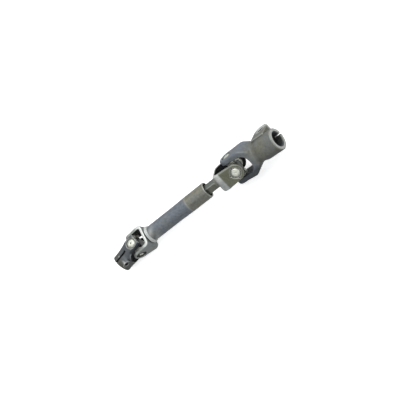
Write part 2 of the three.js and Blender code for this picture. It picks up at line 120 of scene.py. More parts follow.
# ---------------------------------------------------------------- distance functions
# Each takes coordinates in millimetres and gives a distance: below zero inside, above zero outside.
# The blend given last to smooth_max, smooth_min and carve is the width of the rounding there.

DIAGONAL = 0.7071


def smooth_max(a, b, blend):
    overlap = np.maximum(blend - np.abs(a - b), 0.0) / blend
    return np.maximum(a, b) + overlap * overlap * blend * 0.25


def smooth_min(a, b, blend):
    return -smooth_max(-a, -b, blend)


def carve(body, tool, blend):
    return smooth_max(body, -tool, blend)


def round_box(a, b, half_a, half_b, corner):
    """A rectangle with round corners, about the origin of a plane."""
    over_a = np.abs(a) - half_a + corner
    over_b = np.abs(b) - half_b + corner
    outside = np.hypot(np.maximum(over_a, 0), np.maximum(over_b, 0))
    return outside + np.minimum(np.maximum(over_a, over_b), 0) - corner


def ramp(x, start, end):
    t = np.clip((x - start) / (end - start), 0, 1)
    return t * t * (3 - 2 * t)


def cylinder(a, b, centre, radius):
    return np.hypot(a - centre[0], b - centre[1]) - radius


def ball(x, y, z, centre, radius):
    return np.sqrt((x - centre[0]) ** 2 + (y - centre[1]) ** 2 + (z - centre[2]) ** 2) - radius


def ear_outline(x, y, ear, straight_end, wide_start, wide_half):
    """The ear seen along its pin: half round at its end, widening towards the body."""
    widening = np.clip((x - straight_end) / (wide_start - straight_end), 0, 1)
    half_width = ear + (wide_half - ear) * widening
    return np.where(x < 0, np.hypot(x, y) - ear, np.abs(y) - half_width)


EAR_CHAMFER, EAR_CLEARANCE = 0.45, 0.05
STAKE_RING, STAKE_RADIUS, STAKE_RISE = CUP_RADIUS + 0.55, 1.25, 0.15


def ear_bores(x, y, z, half_span):
    """Bores for the bearing cups, with a small chamfer at the outer face."""
    across = np.hypot(x, y)
    chamfer = (across - CUP_RADIUS - EAR_CHAMFER + (half_span - np.abs(z))) * DIAGONAL
    return np.minimum(across - CUP_RADIUS - EAR_CLEARANCE, chamfer)


def stakes(x, y, z, face, turn_by=0.0):
    """Four punched marks that lock a cup in its bore."""
    marks = None
    for k in range(4):
        angle = math.radians(90 * k + turn_by)
        centre = (STAKE_RING * math.cos(angle), STAKE_RING * math.sin(angle), face + STAKE_RISE)
        mark = ball(x, y, np.abs(z), centre, STAKE_RADIUS)
        marks = mark if marks is None else np.minimum(marks, mark)
    return marks


def bent_yoke(x, y, z, half_span, plate, ear, base, corner, reach, bend):
    """Two ears and a base, bent from one plate."""
    past_ears = 30  # the bent box ends well beyond the ears, which are then cut to their outline
    middle = (reach - ear - past_ears) / 2
    half_length = (reach + ear + past_ears) / 2
    outer = round_box(x - middle, z, half_length, half_span, bend)
    inner = round_box(x - middle, z, half_length - plate, half_span - plate, bend - plate)
    inner = np.where(x < middle, np.abs(z) - half_span + plate, inner)
    plan = ear_outline(x, y, ear, 2, reach - bend - 1, base)
    over = np.hypot(np.maximum(x - reach + corner, 0), np.maximum(np.abs(y) - base + corner, 0))
    plan = np.maximum(plan, over - corner)
    body = smooth_max(smooth_max(outer, plan, 1.5), -inner, 0.7)
    body = carve(body, ear_bores(x, y, z, half_span), 0.25)
    return carve(body, stakes(x, y, z, half_span), 0.3)


def shaft_yoke(x, y, z):
    body = bent_yoke(x, y, z, **SHAFT_YOKE)
    hole = np.maximum(np.hypot(y, z) - SHAFT_YOKE_HOLE, -x)
    return carve(body, hole, 0.4)


def tube_yoke(x, y, z):
    body = bent_yoke(x, y, z, **TUBE_YOKE)
    across = np.hypot(y, z)
    spigot = smooth_max(across - SPIGOT_RADIUS, np.abs(x - SPIGOT_MIDDLE) - SPIGOT_HALF_LENGTH, 0.8)
    body = smooth_min(body, spigot, 0.8)
    return carve(body, np.maximum(across - SPIGOT_BORE, -x), 0.8)


def fork_gap(x, z, crotch, inner_span):
    """The space between two ears, closed by a half ellipse that ends at the crotch."""
    depth = inner_span * 0.95
    start = crotch - depth
    a, b = (x - start) / depth, z / inner_span
    near = np.maximum(np.hypot(a, b), 1e-6)
    slope = np.maximum(np.hypot(a / depth, b / inner_span), 1e-6)
    rounded = near * (near - 1) / slope
    return np.where(x < start, np.abs(z) - inner_span, rounded)


def bore_tool(x, across, radius, chamfer, end):
    """A bore from the joint's side to the end face, with a chamfer there."""
    mouth = (across - radius - chamfer + (end - x)) * DIAGONAL
    return np.maximum(np.minimum(across - radius, mouth), -x)


def slit_tool(x, across_slit, side, half_gap, start):
    """A sawn slit on one side of a bore: round where it starts, and open at the end face."""
    round_start = np.hypot(np.minimum(x - start, 0), across_slit)
    return np.maximum(np.where(x < start, round_start, np.abs(across_slit)) - half_gap, -side)


def upper_clamp(x, y, z):
    """The forged clamp yoke, with its waisted hub, slit and bolt lug."""
    ears_narrow_by, ears_end, sloping = 7.1, 38, 0.9
    span = UPPER_HALF_SPAN - ears_narrow_by * ramp(x, 22, ears_end)
    side = (np.abs(z) - span) * sloping
    plan = ear_outline(x, y, ear=11.6, straight_end=6, wide_start=23, wide_half=14.4)
    ears = smooth_max(smooth_max(side, plan, 3.0), x - ears_end, 5.0)
    across = np.hypot(y, z)
    root_radius, waist_depth, rim_height, hub_start = 15.6, 1.9, 1.7, 22
    hub_radius = root_radius - waist_depth * ramp(x, 30, 39.5) + rim_height * ramp(x, 40.5, 50)
    hub = smooth_max(across - hub_radius, x - UPPER_END, 1.6)
    hub = smooth_max(hub, hub_start - x, 4.0)
    body = smooth_min(ears, hub, 2.2)

    bolt_x, bolt_y = UPPER_BOLT
    off_middle = np.abs(z - LUG_MIDDLE)
    up = np.maximum(y - bolt_y, 0)
    lug = smooth_max(np.hypot(x - bolt_x, up) - LUG_RADIUS, off_middle - LUG_HALF_WIDTH, 1.6)
    lug = smooth_max(lug, -y, 1.0)
    body = smooth_min(body, lug, 1.4)
    spot_depth = 0.45
    spot_face = np.maximum(cylinder(x, y, UPPER_BOLT, SPOT_FACE_RADIUS),
                           LUG_HALF_WIDTH - spot_depth - off_middle)
    body = carve(body, spot_face, 0.3)

    body = carve(body, fork_gap(x, z, UPPER_CROTCH, UPPER_INNER_SPAN), 2.0)
    body = carve(body, bore_tool(x, across, UPPER_BORE, 1.1, UPPER_END), 0.3)
    body = carve(body, ear_bores(x, y, z, UPPER_HALF_SPAN), 0.25)
    body = carve(body, stakes(x, y, z, UPPER_HALF_SPAN, 45), 0.3)
    body = carve(body, cylinder(x, y, UPPER_BOLT, UPPER_BOLT_RADIUS), 0.5)
    return carve(body, slit_tool(x, z, y, UPPER_SLIT, 36.1), 0.35)


def lower_clamp(x, y, z):
    """The short clamp yoke, turned round outside, with a slit sleeve and a cross bolt boss."""
    ears_narrow_by, ears_widen_by, ears_half_width, ears_end = 3.3, 3.3, 10, 24
    outside_falls_by, sloping, ear_top = 4.0, 0.97, 8.6
    sleeve_start, boss_side = 14, 13.3
    taper = np.clip((x - 5) / 16, 0, 1)
    across = np.hypot(y, z)
    side = np.abs(z) - (LOWER_HALF_SPAN - ears_narrow_by * taper)
    half_width = ears_half_width + ears_widen_by * taper
    plan = smooth_max(np.abs(y) - half_width, -ear_top - x, 4.0)
    round_outside = (across - LOWER_EAR_RADIUS + outside_falls_by * taper) * sloping
    ears = smooth_max(smooth_max(side, plan, 1.0), round_outside, 0.9)
    ears = smooth_max(ears, x - ears_end, 2.0)
    sleeve = smooth_max(across - SLEEVE_RADIUS, x - LOWER_END, 1.4)
    sleeve = smooth_max(sleeve, sleeve_start - x, 2.0)
    body = smooth_min(ears, sleeve, 1.2)
    boss = smooth_max(cylinder(x, z, LOWER_BOLT, BOSS_RADIUS), y - BOSS_FACE, 0.9)
    boss = smooth_max(smooth_max(boss, -y, 1.0), z - boss_side, 2.6)
    body = smooth_min(body, boss, 3.0)

    body = carve(body, fork_gap(x, z, LOWER_CROTCH, LOWER_INNER_SPAN), 1.6)
    body = carve(body, bore_tool(x, across, LOWER_BORE, 0.9, LOWER_END), 0.3)
    body = carve(body, ear_bores(x, y, z, LOWER_HALF_SPAN), 0.25)
    body = carve(body, stakes(x, y, z, LOWER_HALF_SPAN, 45), 0.3)
    bolt_hole = np.maximum(cylinder(x, z, LOWER_BOLT, LOWER_BOLT_RADIUS), -LOWER_BOLT_DEPTH - y)
    body = carve(body, bolt_hole, 0.5)
    return carve(body, slit_tool(x, y, z, LOWER_SLIT, 14.4), 0.3)


def cross(first_span, second_span, body_radius):
    """A forged spider: four ground trunnions on a rounded body."""
    def distance(x, y, z):
        body = smooth_max(ball(x, y, z, (0, 0, 0), body_radius), np.abs(x) - SPIDER_HALF_THICKNESS, 1.2)
        body = smooth_max(body, np.maximum(np.abs(y), np.abs(z)) - SEAL_SEAT, 1.2)
        for along, first, second, span in ((z, x, y, first_span), (y, x, z, second_span)):
            across = np.hypot(first, second)
            neck = smooth_max(across - NECK_RADIUS, np.abs(along) - SEAL_SEAT, 0.5)
            body = smooth_min(body, neck, 1.6)
            tip = span - TRUNNION_GAP
            trunnion = smooth_max(across - TRUNNION_RADIUS, np.abs(along) - tip, 0.8)
            body = smooth_min(body, trunnion, 0.7)
        return body

    return distance


# ---------------------------------------------------------------- meshes from distance functions


# A point's paint: its edges, which also take painted highlights; its hollows, which also take painted
# shade; its olive tone; its bare spots and painted highlights; and its painted shade.
PAINTS = ("edge", "hollow", "olive", "bright", "shade")


def unit(vectors):
    return vectors / np.maximum(np.linalg.norm(vectors, axis=1), 1e-6)[:, None]


def no_paint(points):
    return {key: np.zeros(len(points)) for key in PAINTS}


def gradient(distance, points, step):
    """How fast the distance grows along each axis."""
    parts = []
    for axis in range(3):
        ahead, behind = points.copy(), points.copy()
        ahead[:, axis] += step
        behind[:, axis] -= step
        parts.append((distance(*ahead.T) - distance(*behind.T)) / (2 * step))
    return np.stack(parts, 1)


def bending(distance, points, step):
    """Above zero on outside edges and below zero in fillets."""
    total = -6 * distance(*points.T)
    for axis in range(3):
        for sign in (1, -1):
            moved = points.copy()
            moved[:, axis] += sign * step
            total += distance(*moved.T)
    return total / step


def settle(distance, points, rounds, reach):
    """Moves points onto the surface, each round by at most reach."""
    for _ in range(rounds):
        slope = gradient(distance, points, 0.02)
        steep = np.maximum((slope**2).sum(1), 1e-3)
        move = -(distance(*points.T) / steep)[:, None] * slope
        length = np.maximum(np.linalg.norm(move, axis=1), 1e-9)
        points = points + move * np.minimum(1, reach / length)[:, None]
    return points


def surface(distance, low, high, cell):
    """(points, quads) of the surface in a box: one point in each cell that it crosses."""
    axes = [np.arange(a - 1.5 * cell, b + 2.5 * cell, cell) for a, b in zip(low, high)]
    grid = np.meshgrid(*axes, indexing="ij")
    value = distance(*grid)
    inside = value < 0
    shape = np.array(value.shape)
    cells = tuple(shape - 1)

    def corner(array, dx, dy, dz):
        return array[dx : dx + cells[0], dy : dy + cells[1], dz : dz + cells[2]]

    corners = [(a, b, c) for a in (0, 1) for b in (0, 1) for c in (0, 1)]
    filled = sum(corner(inside, *c).astype(np.int8) for c in corners)
    crossed = (filled > 0) & (filled < 8)
    where = np.argwhere(crossed)
    number = np.full(cells, -1, np.int64)
    number[crossed] = np.arange(len(where))

    total = np.zeros((len(where), 3))
    count = np.zeros(len(where))
    for first in corners:
        for axis in range(3):
            if first[axis]:
                continue
            second = list(first)
            second[axis] = 1
            a = value[tuple((where + first).T)]
            b = value[tuple((where + second).T)]
            crossing = (a < 0) != (b < 0)
            share = np.where(crossing, a / np.where(crossing, a - b, 1), 0)
            point = np.tile(np.array(first, float), (len(where), 1))
            point[:, axis] = share
            total += point * crossing[:, None]
            count += crossing
    points = where + total / count[:, None]
    points = points * cell + np.array([a[0] for a in axes])

    quads = []
    for axis in range(3):
        one, two = [(1, 2), (2, 0), (0, 1)][axis]
        start = np.array(inside.shape)
        start[axis] -= 1
        slices = [slice(0, s) for s in inside.shape]
        ahead = list(slices)
        slices[axis] = slice(0, inside.shape[axis] - 1)
        ahead[axis] = slice(1, inside.shape[axis])
        here, there = inside[tuple(slices)], inside[tuple(ahead)]
        for rising in (False, True):
            edges = np.argwhere((here != there) & (here == rising))
            edges = edges[(edges[:, one] > 0) & (edges[:, two] > 0)]
            ring = []
            for step_one, step_two in ((1, 1), (0, 1), (0, 0), (1, 0)):
                place = edges.copy()
                place[:, one] -= step_one
                place[:, two] -= step_two
                ring.append(number[tuple(place.T)])
            ring = np.stack(ring, 1)
            quads.append(ring if rising else ring[:, ::-1])
    return points, np.concatenate(quads)


def relax(distance, points, quads, rounds, cell):
    """Evens out the spacing of the points, which stay on the surface."""
    pairs = np.concatenate([quads[:, [k, (k + 1) % 4]] for k in range(4)])
    for _ in range(rounds):
        total = np.zeros_like(points)
        count = np.zeros(len(points))
        for a, b in ((0, 1), (1, 0)):
            np.add.at(total, pairs[:, a], points[pairs[:, b]])
            np.add.at(count, pairs[:, a], 1)
        target = total / count[:, None]
        normal = unit(gradient(distance, points, 0.05))
        move = target - points
        move -= (move * normal).sum(1)[:, None] * normal
        points = settle(distance, points + 0.5 * move, 1, 0.3 * cell)
    return points


def add_object(name, data):
    made = bpy.data.objects.new(name, data)
    bpy.context.scene.collection.objects.link(made)
    return made


def mesh_object(name, points, faces, place, paint, smooth=True):
    """Places points of the piece's own frame in the part's, and keeps them as they were in "own".

    paint holds a value for each point, under the names in PAINTS.
    """
    data = bpy.data.meshes.new(name)
    faces = np.asarray(faces)
    points = np.asarray(points, float)
    turning = np.array(place.to_3x3())
    placed = points * MM @ turning.T + np.array(place.translation)
    data.vertices.add(len(points))
    data.vertices.foreach_set("co", placed.astype(np.float32).ravel())
    data.loops.add(faces.size)
    data.loops.foreach_set("vertex_index", faces.astype(np.int32).ravel())
    data.polygons.add(len(faces))
    data.polygons.foreach_set("loop_start", np.arange(0, faces.size, faces.shape[1], dtype=np.int32))
    data.polygons.foreach_set("use_smooth", np.full(len(faces), smooth))
    data.update(calc_edges=True)
    data.validate()
    for key, values in paint.items():
        layer = data.attributes.new(key, "FLOAT", "POINT")
        layer.data.foreach_set("value", np.asarray(values, np.float32))
    layer = data.attributes.new("own", "FLOAT_VECTOR", "POINT")
    layer.data.foreach_set("vector", points.astype(np.float32).ravel())
    return add_object(name, data)


EDGE_GAIN, EDGE_LEAST, HOLLOW_LEAST = 1.3, 0.35, 0.1


def sculpted(name, distance, low, high, cell, place, tints=None):
    """A piece from a distance function, with its edges and hollows, and any painted shade and highlights
    from its tints, written on its points.
    """
    points, quads = surface(distance, low, high, cell)
    points = settle(distance, points, 3, 0.5 * cell)
    points = relax(distance, points, quads, 3, cell)
    points = settle(distance, points, 2, 0.5 * cell)
    curve = bending(distance, points, 0.7)
    paint = no_paint(points)
    paint["edge"] = np.clip(curve * EDGE_GAIN - EDGE_LEAST, 0, 1)
    paint["hollow"] = np.clip(-curve - HOLLOW_LEAST, 0, 1)
    if tints:
        normal = unit(gradient(distance, points, 0.05))
        paint.update(tints(*points.T, *normal.T))
    return mesh_object(name, points, quads, place, paint)


# ---------------------------------------------------------------- meshes from rings


def ring_quads(rings, around):
    """The quads between rings of points, each ring closed, and the last one joined to the first."""
    i, j = np.meshgrid(np.arange(rings), np.arange(around), indexing="ij")
    i, j = i.ravel(), j.ravel()
    next_i, next_j = (i + 1) % rings, (j + 1) % around
    return np.stack([i * around + j, next_i * around + j, next_i * around + next_j, i * around + next_j], 1)


def fine(profile, longest):
    """A closed profile, with each side divided into parts no longer than longest."""
    out = []
    for k, here in enumerate(profile):
        there = profile[(k + 1) % len(profile)]
        here, there = np.array(here, float), np.array(there, float)
        parts = max(1, int(math.ceil(np.linalg.norm((there - here)[:2]) / longest)))
        out.extend(here + (there - here) * (step / parts) for step in range(parts))
    return np.array(out)


def turned(name, profile, around, place, along="Z", flat=None, wobble=None, paint=None, longest=1.5):
    """A ring-shaped piece: profile is a closed list of (place along the axis, radius).

    flat gives half the distance between two flats at each point, and wobble may move the points.
    """
    stations = fine(profile, longest)
    angle = np.arange(around) * 2 * math.pi / around
    height = np.repeat(stations[:, 0], around)
    radius = np.repeat(stations[:, 1], around)
    theta = np.tile(angle, len(stations))
    if flat is not None:
        to_flat = flat(height, radius) / np.maximum(np.abs(np.sin(theta)), 0.05)
        radius = smooth_min(radius, to_flat, 0.6)
    if wobble:
        height, radius = wobble(height, radius, theta)
    a, b = radius * np.cos(theta), radius * np.sin(theta)
    points = np.stack([height, a, b] if along == "X" else [a, b, height], 1)
    quads = ring_quads(len(stations), around)
    along_axis, outward = stations[:, 0], stations[:, 1]
    area = outward @ np.roll(along_axis, -1) - along_axis @ np.roll(outward, -1)
    if (area > 0) == (along == "X"):
        quads = quads[:, ::-1]  # so that every face looks outward
    values = no_paint(points)
    if paint:
        values.update(paint(height, radius, theta))
    return mesh_object(name, points, quads, place, values)


# ---------------------------------------------------------------- materials


def srgb(r, g, b):
    def linear(c):
        c /= 255
        return c / 12.92 if c <= 0.04045 else ((c + 0.055) / 1.055) ** 2.4

    return (linear(r), linear(g), linear(b), 1.0)


class Wiring:
    """Short ways to add and join shader nodes, and the nodes of one material."""

    def __init__(self, name):
        self.material = bpy.data.materials.new(name)
        self.material.use_nodes = True
        self.nodes = self.material.node_tree.nodes
        self.links = self.material.node_tree.links
        self.nodes.clear()

    def add(self, kind, settings=None, **inputs):
        """An input is named as its socket, with _ for a space, or i and its number."""
        made = self.nodes.new(kind)
        for key, value in (settings or {}).items():
            setattr(made, key, value)
        for key, value in inputs.items():
            self.put(made.inputs[int(key[1:]) if key[1:].isdigit() else key.replace("_", " ")], value)
        return made

    def put(self, socket, value):
        if isinstance(value, bpy.types.NodeSocket):
            self.links.new(value, socket)
        else:
            socket.default_value = value

    def math(self, operation, a, b=0.0, clamp=False):
        made = self.add("ShaderNodeMath", {"operation": operation, "use_clamp": clamp}, i0=a, i1=b)
        return made.outputs[0]

    def noise(self, vector, scale, detail, rough):
        made = self.add(
            "ShaderNodeTexNoise", {}, Vector=vector, Scale=scale, Detail=detail, Roughness=rough)
        return made.outputs["Fac"]

    def spread(self, value, low, high, to_low, to_high):
        made = self.add(
            "ShaderNodeMapRange", {"clamp": True}, i0=value, i1=low, i2=high, i3=to_low, i4=to_high)
        return made.outputs[0]

    def mix(self, share, a, b, blend="MIX"):
        made = self.add("ShaderNodeMix", {"data_type": "RGBA", "blend_type": blend}, i0=share, i6=a, i7=b)
        return made.outputs[2]

    def attribute(self, name):
        return self.add("ShaderNodeAttribute", {"attribute_name": name}).outputs["Fac"]

    def own_place(self):
        """The point's place in the piece's own frame, in millimetres."""
        return self.add("ShaderNodeAttribute", {"attribute_name": "own"}).outputs["Vector"]

    def finish(self, colour, rough, metallic, height, strength, distance):
        raised = self.add("ShaderNodeBump", {}, Strength=strength, Distance=distance, Height=height)
        shader = self.add("ShaderNodeBsdfPrincipled", {}, Base_Color=colour, Roughness=rough,
                          Metallic=metallic, Normal=raised.outputs[0])
        self.add("ShaderNodeOutputMaterial", {}, Surface=shader.outputs[0])
        return self.material


PAINTED_SHADE, BARE_AND_HIGHLIGHT, DIRT_AND_SHADE = srgb(36, 38, 42), srgb(224, 226, 221), srgb(48, 50, 50)
METALLIC, EDGE_WEAR_AND_HIGHLIGHT, MOTTLE = 0.75, 0.75, 0.22


def worn_steel_with_painted_light(name, grey, olive, roughness, bump, grain=(1, 1, 1), pits=0.35):
    """Steel with two tones that drift together, bare edges, dirt in its hollows, painted shade, painted
    highlights and a worked grain.
    """
    w = Wiring(name)
    mm = w.own_place()
    stretched = w.add("ShaderNodeVectorMath", {"operation": "MULTIPLY"}, i0=mm, i1=grain).outputs[0]

    broad = w.noise(mm, 0.055, 3.0, 0.6)
    patch = w.noise(mm, 0.32, 5.0, 0.62)
    speck = w.noise(mm, 1.7, 4.0, 0.6)
    lines = w.noise(stretched, 2.2, 4.0, 0.6)

    drift = w.math("ADD", w.attribute("olive"), w.spread(broad, 0.35, 0.65, -0.25, 0.25))
    drift = w.math("ADD", drift, w.spread(patch, 0.3, 0.7, -0.1, 0.1), True)
    colour = w.mix(drift, grey, olive)
    shade = w.math("ADD", w.spread(patch, 0.28, 0.72, 1 - MOTTLE, 1 + MOTTLE),
                   w.spread(lines, 0.3, 0.7, -0.12, 0.12))
    shade = w.math("ADD", shade, w.spread(speck, 0.35, 0.7, -0.09, 0.09))
    tone = w.add("ShaderNodeCombineColor", {}, i0=shade, i1=shade, i2=shade).outputs[0]
    colour = w.mix(1.0, colour, tone, "MULTIPLY")

    # Dark in the hollows: dirt, and the painted shade that some pieces add to the same paint.
    dirt_and_shade_share = w.math("MULTIPLY", w.attribute("hollow"), w.spread(patch, 0.3, 0.6, 0.45, 0.95))
    colour = w.mix(dirt_and_shade_share, colour, DIRT_AND_SHADE)
    # Light on the edges: bare worn metal, and painted highlights that some pieces add to the edge paint.
    rub = w.spread(w.noise(mm, 0.9, 4.0, 0.65), 0.32, 0.6, 0.25, 1.0)
    rubbed_and_highlit = w.math("MULTIPLY", w.math("MULTIPLY", w.attribute("edge"), rub), EDGE_WEAR_AND_HIGHLIGHT)
    # Light where a piece asks for it: bare metal, and painted highlights on faces turned to the light.
    polish_and_highlight = w.math("MULTIPLY", w.attribute("bright"), w.spread(patch, 0.25, 0.6, 0.6, 1.0))
    # Painted shade: the colour goes towards a dark grey by the piece's shade paint, and the darkest parts
    # keep no bare metal.
    darkened = w.attribute("shade")
    open_to_light = w.spread(darkened, 0.6, 0.85, 1.0, 0.0)
    bare_and_highlight_share = w.math("MULTIPLY", w.math("MAXIMUM", rubbed_and_highlit, polish_and_highlight, True), open_to_light)
    colour = w.mix(w.math("MULTIPLY", darkened, 0.93), colour, PAINTED_SHADE)
    colour = w.mix(bare_and_highlight_share, colour, BARE_AND_HIGHLIGHT)

    rough = w.math("ADD", w.spread(patch, 0.3, 0.7, roughness - 0.08, roughness + 0.1),
                   w.spread(speck, 0.3, 0.7, -0.05, 0.06))
    rough = w.math("SUBTRACT", rough, w.math("MULTIPLY", bare_and_highlight_share, 0.16), True)

    grit = w.math("ADD", w.math("MULTIPLY", speck, pits), w.math("MULTIPLY", lines, 1 - pits))
    grit = w.math("ADD", grit, w.math("MULTIPLY", patch, 0.6))
    return w.finish(colour, rough, METALLIC, grit, bump * 3, 0.25 * MM)


def soft_black(name, colour, roughness):
    """Rubber or nylon with a faint grain and dust."""
    w = Wiring(name)
    grain = w.noise(w.own_place(), 1.4, 5.0, 0.6)
    dusty = tuple(c * 2.1 + 0.01 for c in colour[:3]) + (1.0,)
    tone = w.mix(w.spread(grain, 0.35, 0.75, 0.0, 0.7), colour, dusty)
    rough = w.spread(grain, 0.3, 0.7, roughness - 0.08, roughness + 0.08)
    return w.finish(tone, rough, 0.0, grain, 0.25, 0.1 * MM)


def ground_steel(name, light, dark, roughness):
    """Bearing steel, turned about its own pin, with fine rings, darker stains and the painted shade of its
    piece.
    """
    w = Wiring(name)
    mm = w.own_place()
    a, b, along = w.add("ShaderNodeSeparateXYZ", {}, Vector=mm).outputs
    across = w.math("SQRT", w.math("ADD", w.math("MULTIPLY", a, a), w.math("MULTIPLY", b, b)))
    rings = w.add("ShaderNodeCombineXYZ", {}, X=w.math("MULTIPLY", across, 3.0),
                  Y=w.math("MULTIPLY", along, 2.0), Z=0.0).outputs[0]
    line = w.noise(rings, 1.6, 3.0, 0.6)
    darker_patch = w.noise(mm, 0.45, 5.0, 0.65)
    hollow = w.attribute("hollow")
    # Darker in random stains, and where the cup's paint puts painted shade.
    share = w.math("ADD", w.spread(darker_patch, 0.42, 0.72, 0.0, 0.55), hollow, True)
    colour = w.mix(share, light, dark)
    rough = w.math("ADD", w.spread(darker_patch, 0.3, 0.7, roughness - 0.06, roughness + 0.12),
                   w.math("MULTIPLY", hollow, 0.25), True)
    return w.finish(colour, rough, 0.85, line, 0.18, 0.08 * MM)


ALONG_PLATE, ALONG_TUBE, ALONG_BAR = (0.3, 1, 1), (0.04, 1, 1), (0.03, 1, 1)
forging = worn_steel_with_painted_light("forged_steel", srgb(121, 127, 134), srgb(117, 117, 105),
                     roughness=0.5, bump=0.16, pits=0.75)
stamping = worn_steel_with_painted_light("stamped_steel", srgb(122, 128, 131), srgb(110, 112, 94),
                      roughness=0.44, bump=0.1, grain=ALONG_PLATE)
tubing = worn_steel_with_painted_light("tube_steel", srgb(113, 119, 126), srgb(128, 127, 114),
                    roughness=0.43, bump=0.1, grain=ALONG_TUBE, pits=0.3)
drawing = worn_steel_with_painted_light("drawn_steel", srgb(112, 116, 114), srgb(116, 118, 106),
                     roughness=0.36, bump=0.08, grain=ALONG_BAR, pits=0.2)
welding = worn_steel_with_painted_light("weld_steel", srgb(160, 166, 166), srgb(140, 142, 134),
                     roughness=0.4, bump=0.2, pits=0.6)
bearing = ground_steel("bearing_steel", srgb(236, 238, 224), srgb(70, 72, 70), 0.34)
rollers = ground_steel("roller_steel", srgb(200, 203, 200), srgb(90, 92, 90), 0.25)
rubber = soft_black("seal_rubber", srgb(42, 43, 45), 0.7)
nylon = soft_black("slide_nylon", srgb(52, 53, 50), 0.5)

# ---------------------------------------------------------------- pieces


def place_piece(thing, body, material, node):
    thing.data.materials.append(material)
    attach(thing, body)
    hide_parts(node)


YOKE_CELL = 0.5

# The tint functions take places and surface normals, and give the paint of one yoke: its olive tone, its
# bare spots and painted highlights, and its painted shade. What they leave out stays as the shape itself
# gave it.


def inside_fork(x, z, nx, nz, inner_span, crotch):
    """1 on the faces that look into the space between the ears."""
    between = np.abs(z) < inner_span + 0.6
    ears = between & (nz * np.sign(z) < -0.5)
    arch = between & (x < crotch + 0.4) & (nx < -0.4)
    return (ears | arch).astype(float)


def cut_face(ny):
    """1 on the sheared edge of a plate."""
    return np.clip((np.abs(ny) - 0.7) * 5, 0, 1)


def facing(part, least):
    """Rises from 0 to 1 as that part of the normal rises above least."""
    return np.clip((part - least) * 6, 0, 1)


def upper_clamp_tints(x, y, z, nx, ny, nz):
    hub = ramp(x, 26, 42)
    end = facing(nx, 0.85) * (x > UPPER_END - 4)
    on_spot = cylinder(x, y, UPPER_BOLT, SPOT_FACE_RADIUS + 0.1) < 0
    lug_face = on_spot & (np.abs(nz) > 0.8) & (y > 12)
    lug_top = ramp(y, 17, 24)
    bore = (np.hypot(y, z) < UPPER_BORE + 0.6) & (x > UPPER_CROTCH - 2) & (x < UPPER_END - 1)
    fork = inside_fork(x, z, nx, nz, UPPER_INNER_SPAN, UPPER_CROTCH)
    dark = np.maximum(fork * 0.8, bore * 0.9)
    far_ear = 0.72 * ramp(-z, 6, 14) * (1 - ramp(x, 32, 46))
    far_side = 0.5 * ramp(-nz, 0.1, 0.8) * hub
    # Painted highlights on the hub's end face, which is bare, and on the lug's top. The spot face is bare.
    # Painted shade inside the fork and the bore, on the far ear and on the hub's far side.
    return {
        "olive": 0.1 + 0.65 * hub,
        "bright": np.maximum(np.maximum(0.85 * end, 0.45 * lug_face), 0.8 * lug_top),
        "shade": np.maximum(dark, np.maximum(far_ear, far_side)),
    }


def lower_clamp_tints(x, y, z, nx, ny, nz):
    ear_top = facing(-nx, 0.75) * (x < -7) * (np.abs(y) < 9)
    bore = (np.hypot(y, z) < LOWER_BORE + 0.6) & (x > LOWER_CROTCH - 1.5) & (x < LOWER_END - 0.5)
    fork = inside_fork(x, z, nx, nz, LOWER_INNER_SPAN, LOWER_CROTCH)
    dark = np.maximum(fork * 0.95, bore * 0.85)
    ear_side = 0.95 * ramp(ny, 0.15, 0.5) * (1 - ramp(x, 8, 18))
    slit = (np.abs(y) < 2 * LOWER_SLIT) & (z > 0) & (x > 13)
    everywhere = 0.5
    # Painted highlights on the ear tips. Painted shade inside the fork, the bore and the slit, on one side
    # of the ears, and at half strength over the whole piece.
    return {
        "olive": 0.2 + 0.5 * ramp(x, 16, 30),
        "bright": 0.8 * ear_top,
        "shade": np.maximum(np.maximum(dark, slit), np.maximum(ear_side, everywhere)),
    }


def shaft_yoke_tints(x, y, z, nx, ny, nz):
    bend = ramp(x, 18.0, 20.5) * (nx > -0.2)
    # Painted highlight round the outside of the bend, stronger towards one side.
    stretched = bend * (0.4 + 0.5 * ramp(-y, -2, 8))
    inner_span = SHAFT_YOKE["half_span"] - SHAFT_YOKE["plate"]
    crotch = SHAFT_YOKE["reach"] - SHAFT_YOKE["plate"]
    # Sheared edges bare. Painted shade inside the fork.
    return {
        "olive": 0.95 - 0.6 * bend,
        "bright": np.maximum(stretched, cut_face(ny) * 0.3),
        "shade": inside_fork(x, z, nx, nz, inner_span, crotch),
    }


def tube_yoke_tints(x, y, z, nx, ny, nz):
    base = ramp(x, 11, 17)
    inner_span = TUBE_YOKE["half_span"] - TUBE_YOKE["plate"]
    crotch = TUBE_YOKE["reach"] - TUBE_YOKE["plate"]
    # Sheared edges bare and, towards the base, brighter still as a painted highlight. The whole yoke is
    # lightened slightly. Painted shade inside the fork.
    return {
        "olive": np.full(len(x), 0.3),
        "bright": np.maximum(cut_face(ny) * (0.3 + 0.65 * base), 0.13),
        "shade": inside_fork(x, z, nx, nz, inner_span, crotch),
    }


SCULPTED = [
    ("upper_clamp_forging", upper_clamp, (-12, -16, -21), (75, 31, 21), UPPER_CLAMP, upper_clamp_tints,
     "upper_clamp", "forged_steel", forging, "upper_clamp_yoke"),
    ("lower_clamp_forging", lower_clamp, (-9, -14, -18), (36, 15, 18), LOWER_CLAMP, lower_clamp_tints,
     "lower_clamp", "forged_steel", forging, "lower_clamp_yoke"),
    ("shaft_yoke_bent_plate", shaft_yoke, (-12, -13, -20), (32, 13, 20), SHAFT_FORK, shaft_yoke_tints,
     "inner_shaft", "stamped_steel", stamping, "shaft_yoke"),
    ("tube_yoke_bent_plate", tube_yoke, (-11, -14, -18), (35, 14, 18), TUBE_FORK, tube_yoke_tints,
     "tube", "stamped_steel", stamping, "tube_yoke"),
]
for name, shape, low, high, place, tints, body, slot, material, node in SCULPTED:
    place_piece(sculpted(name, shape, low, high, YOKE_CELL, place, tints), body, material, node)
